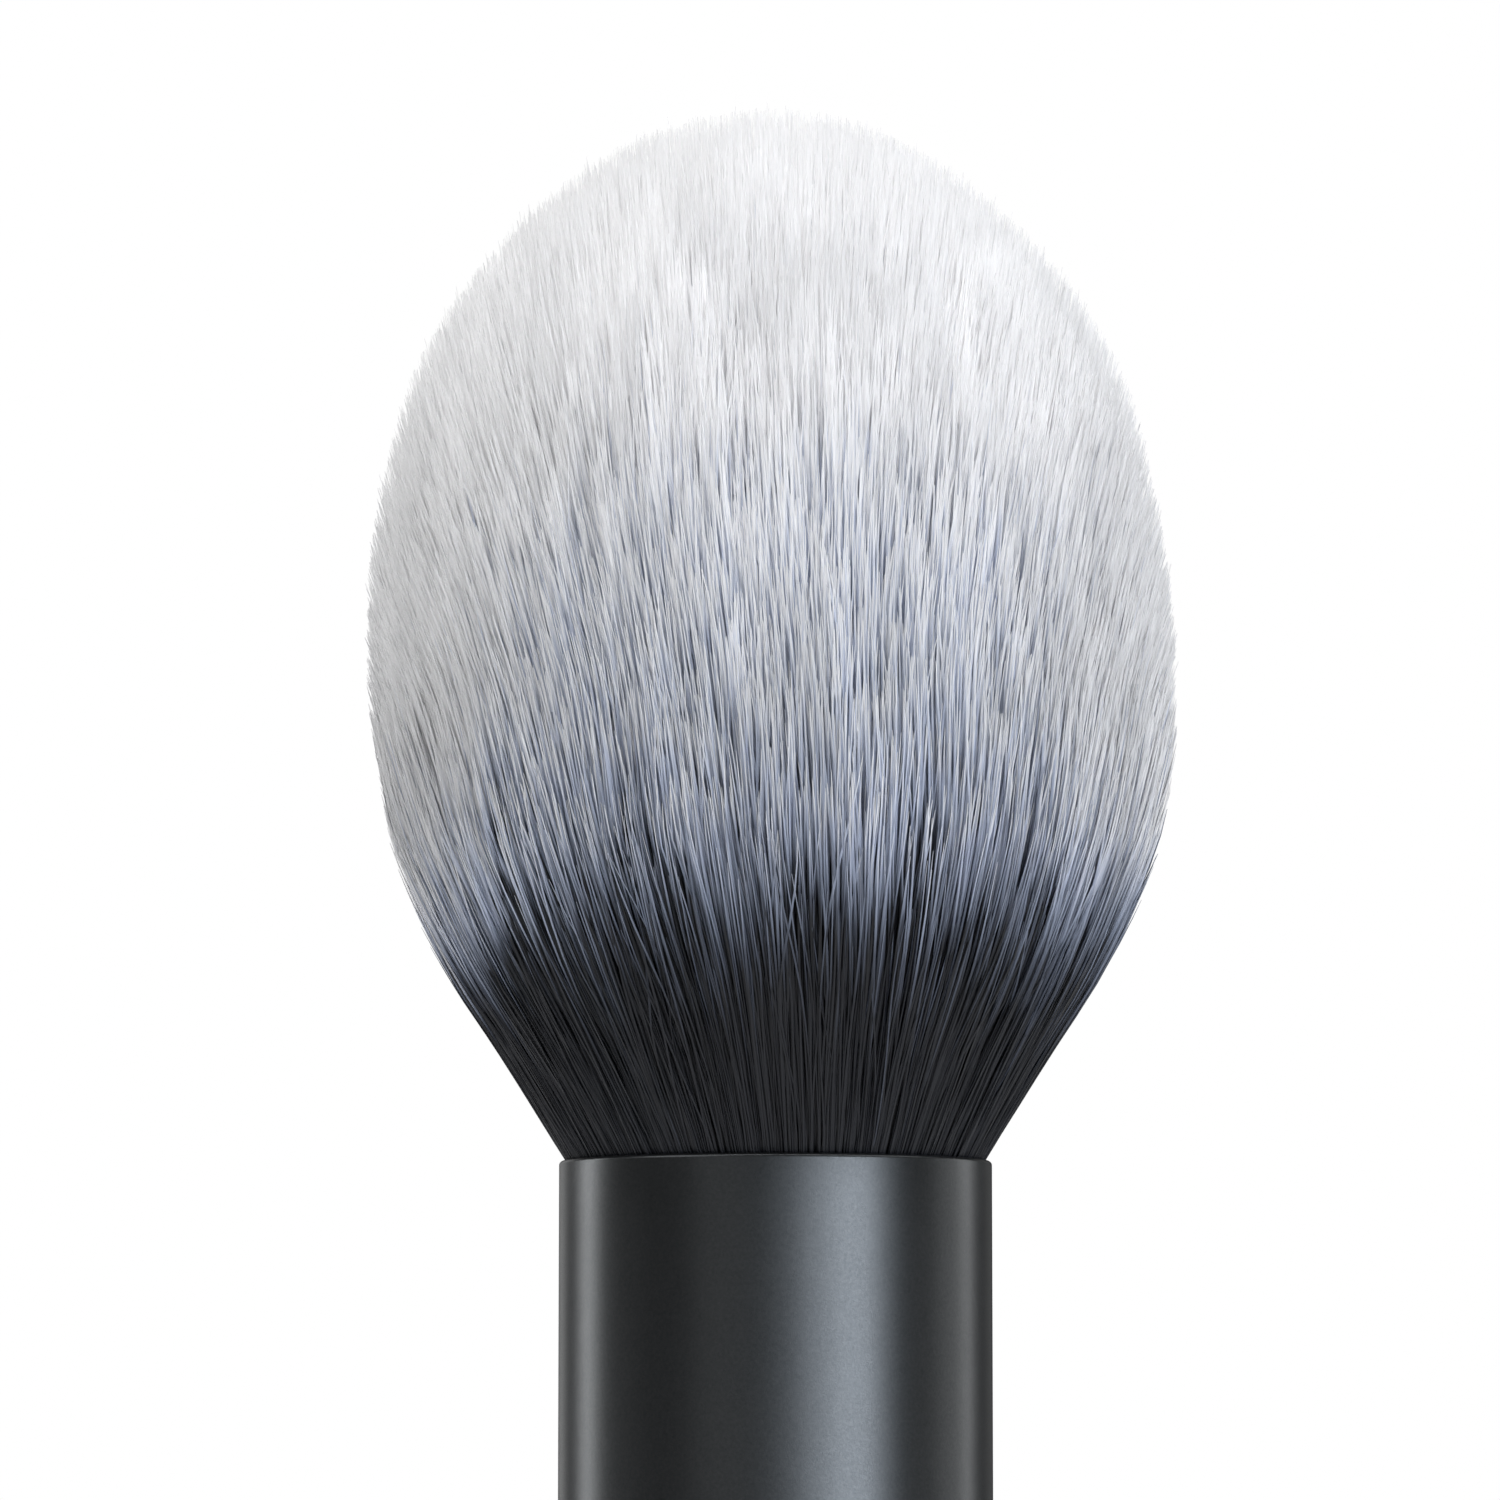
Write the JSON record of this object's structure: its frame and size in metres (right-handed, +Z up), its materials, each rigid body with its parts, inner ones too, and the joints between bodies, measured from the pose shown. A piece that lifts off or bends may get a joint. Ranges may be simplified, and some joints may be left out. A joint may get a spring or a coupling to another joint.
{
  "type": "makeup brush",
  "caption": "Large round powder brush: egg-shaped tuft of dark-rooted pale hair in a straight black metal ferrule, on a black handle that stands on its flat end.",
  "frame": {"origin": "centre of the flat base of the handle, on the surface that the brush stands on", "axes": "+Z up the brush axis, from the handle's base to the tip of the hair; +X to the right and +Y away from the viewer of the picture"},
  "size_m": [0.039, 0.039, 0.1698],
  "materials": {
    "pale_hair": "satin",
    "dark_hair": "satin",
    "waxed_thread": "matte",
    "resin": "gloss",
    "black_anodised": "satin",
    "glue": "satin",
    "black_satin": "satin",
    "rod_steel": "satin",
    "plug_black": "matte"
  },
  "bodies": {
    "root": {"handle": "black_satin", "end_plug": "plug_black", "weight_rod": "rod_steel", "rod_glue": "glue", "tenon_glue": "glue", "ferrule": "black_anodised", "root_resin": "resin", "binding_thread": "waxed_thread", "tuft_knot": "dark_hair", "tuft_neck": "dark_hair"},
    "tuft": {"tuft_head": "pale_hair"}
  },
  "joints": [
    {"name": "tuft_flex", "type": "hinge", "parent": "root", "child": "tuft", "pos_m": [0, 0, 0.1197], "axis": [0, 1, 0], "range_deg": [-25, 25], "stiffness_Nm_per_rad": 0.05, "deforming": ["tuft_neck"]}
  ]
}
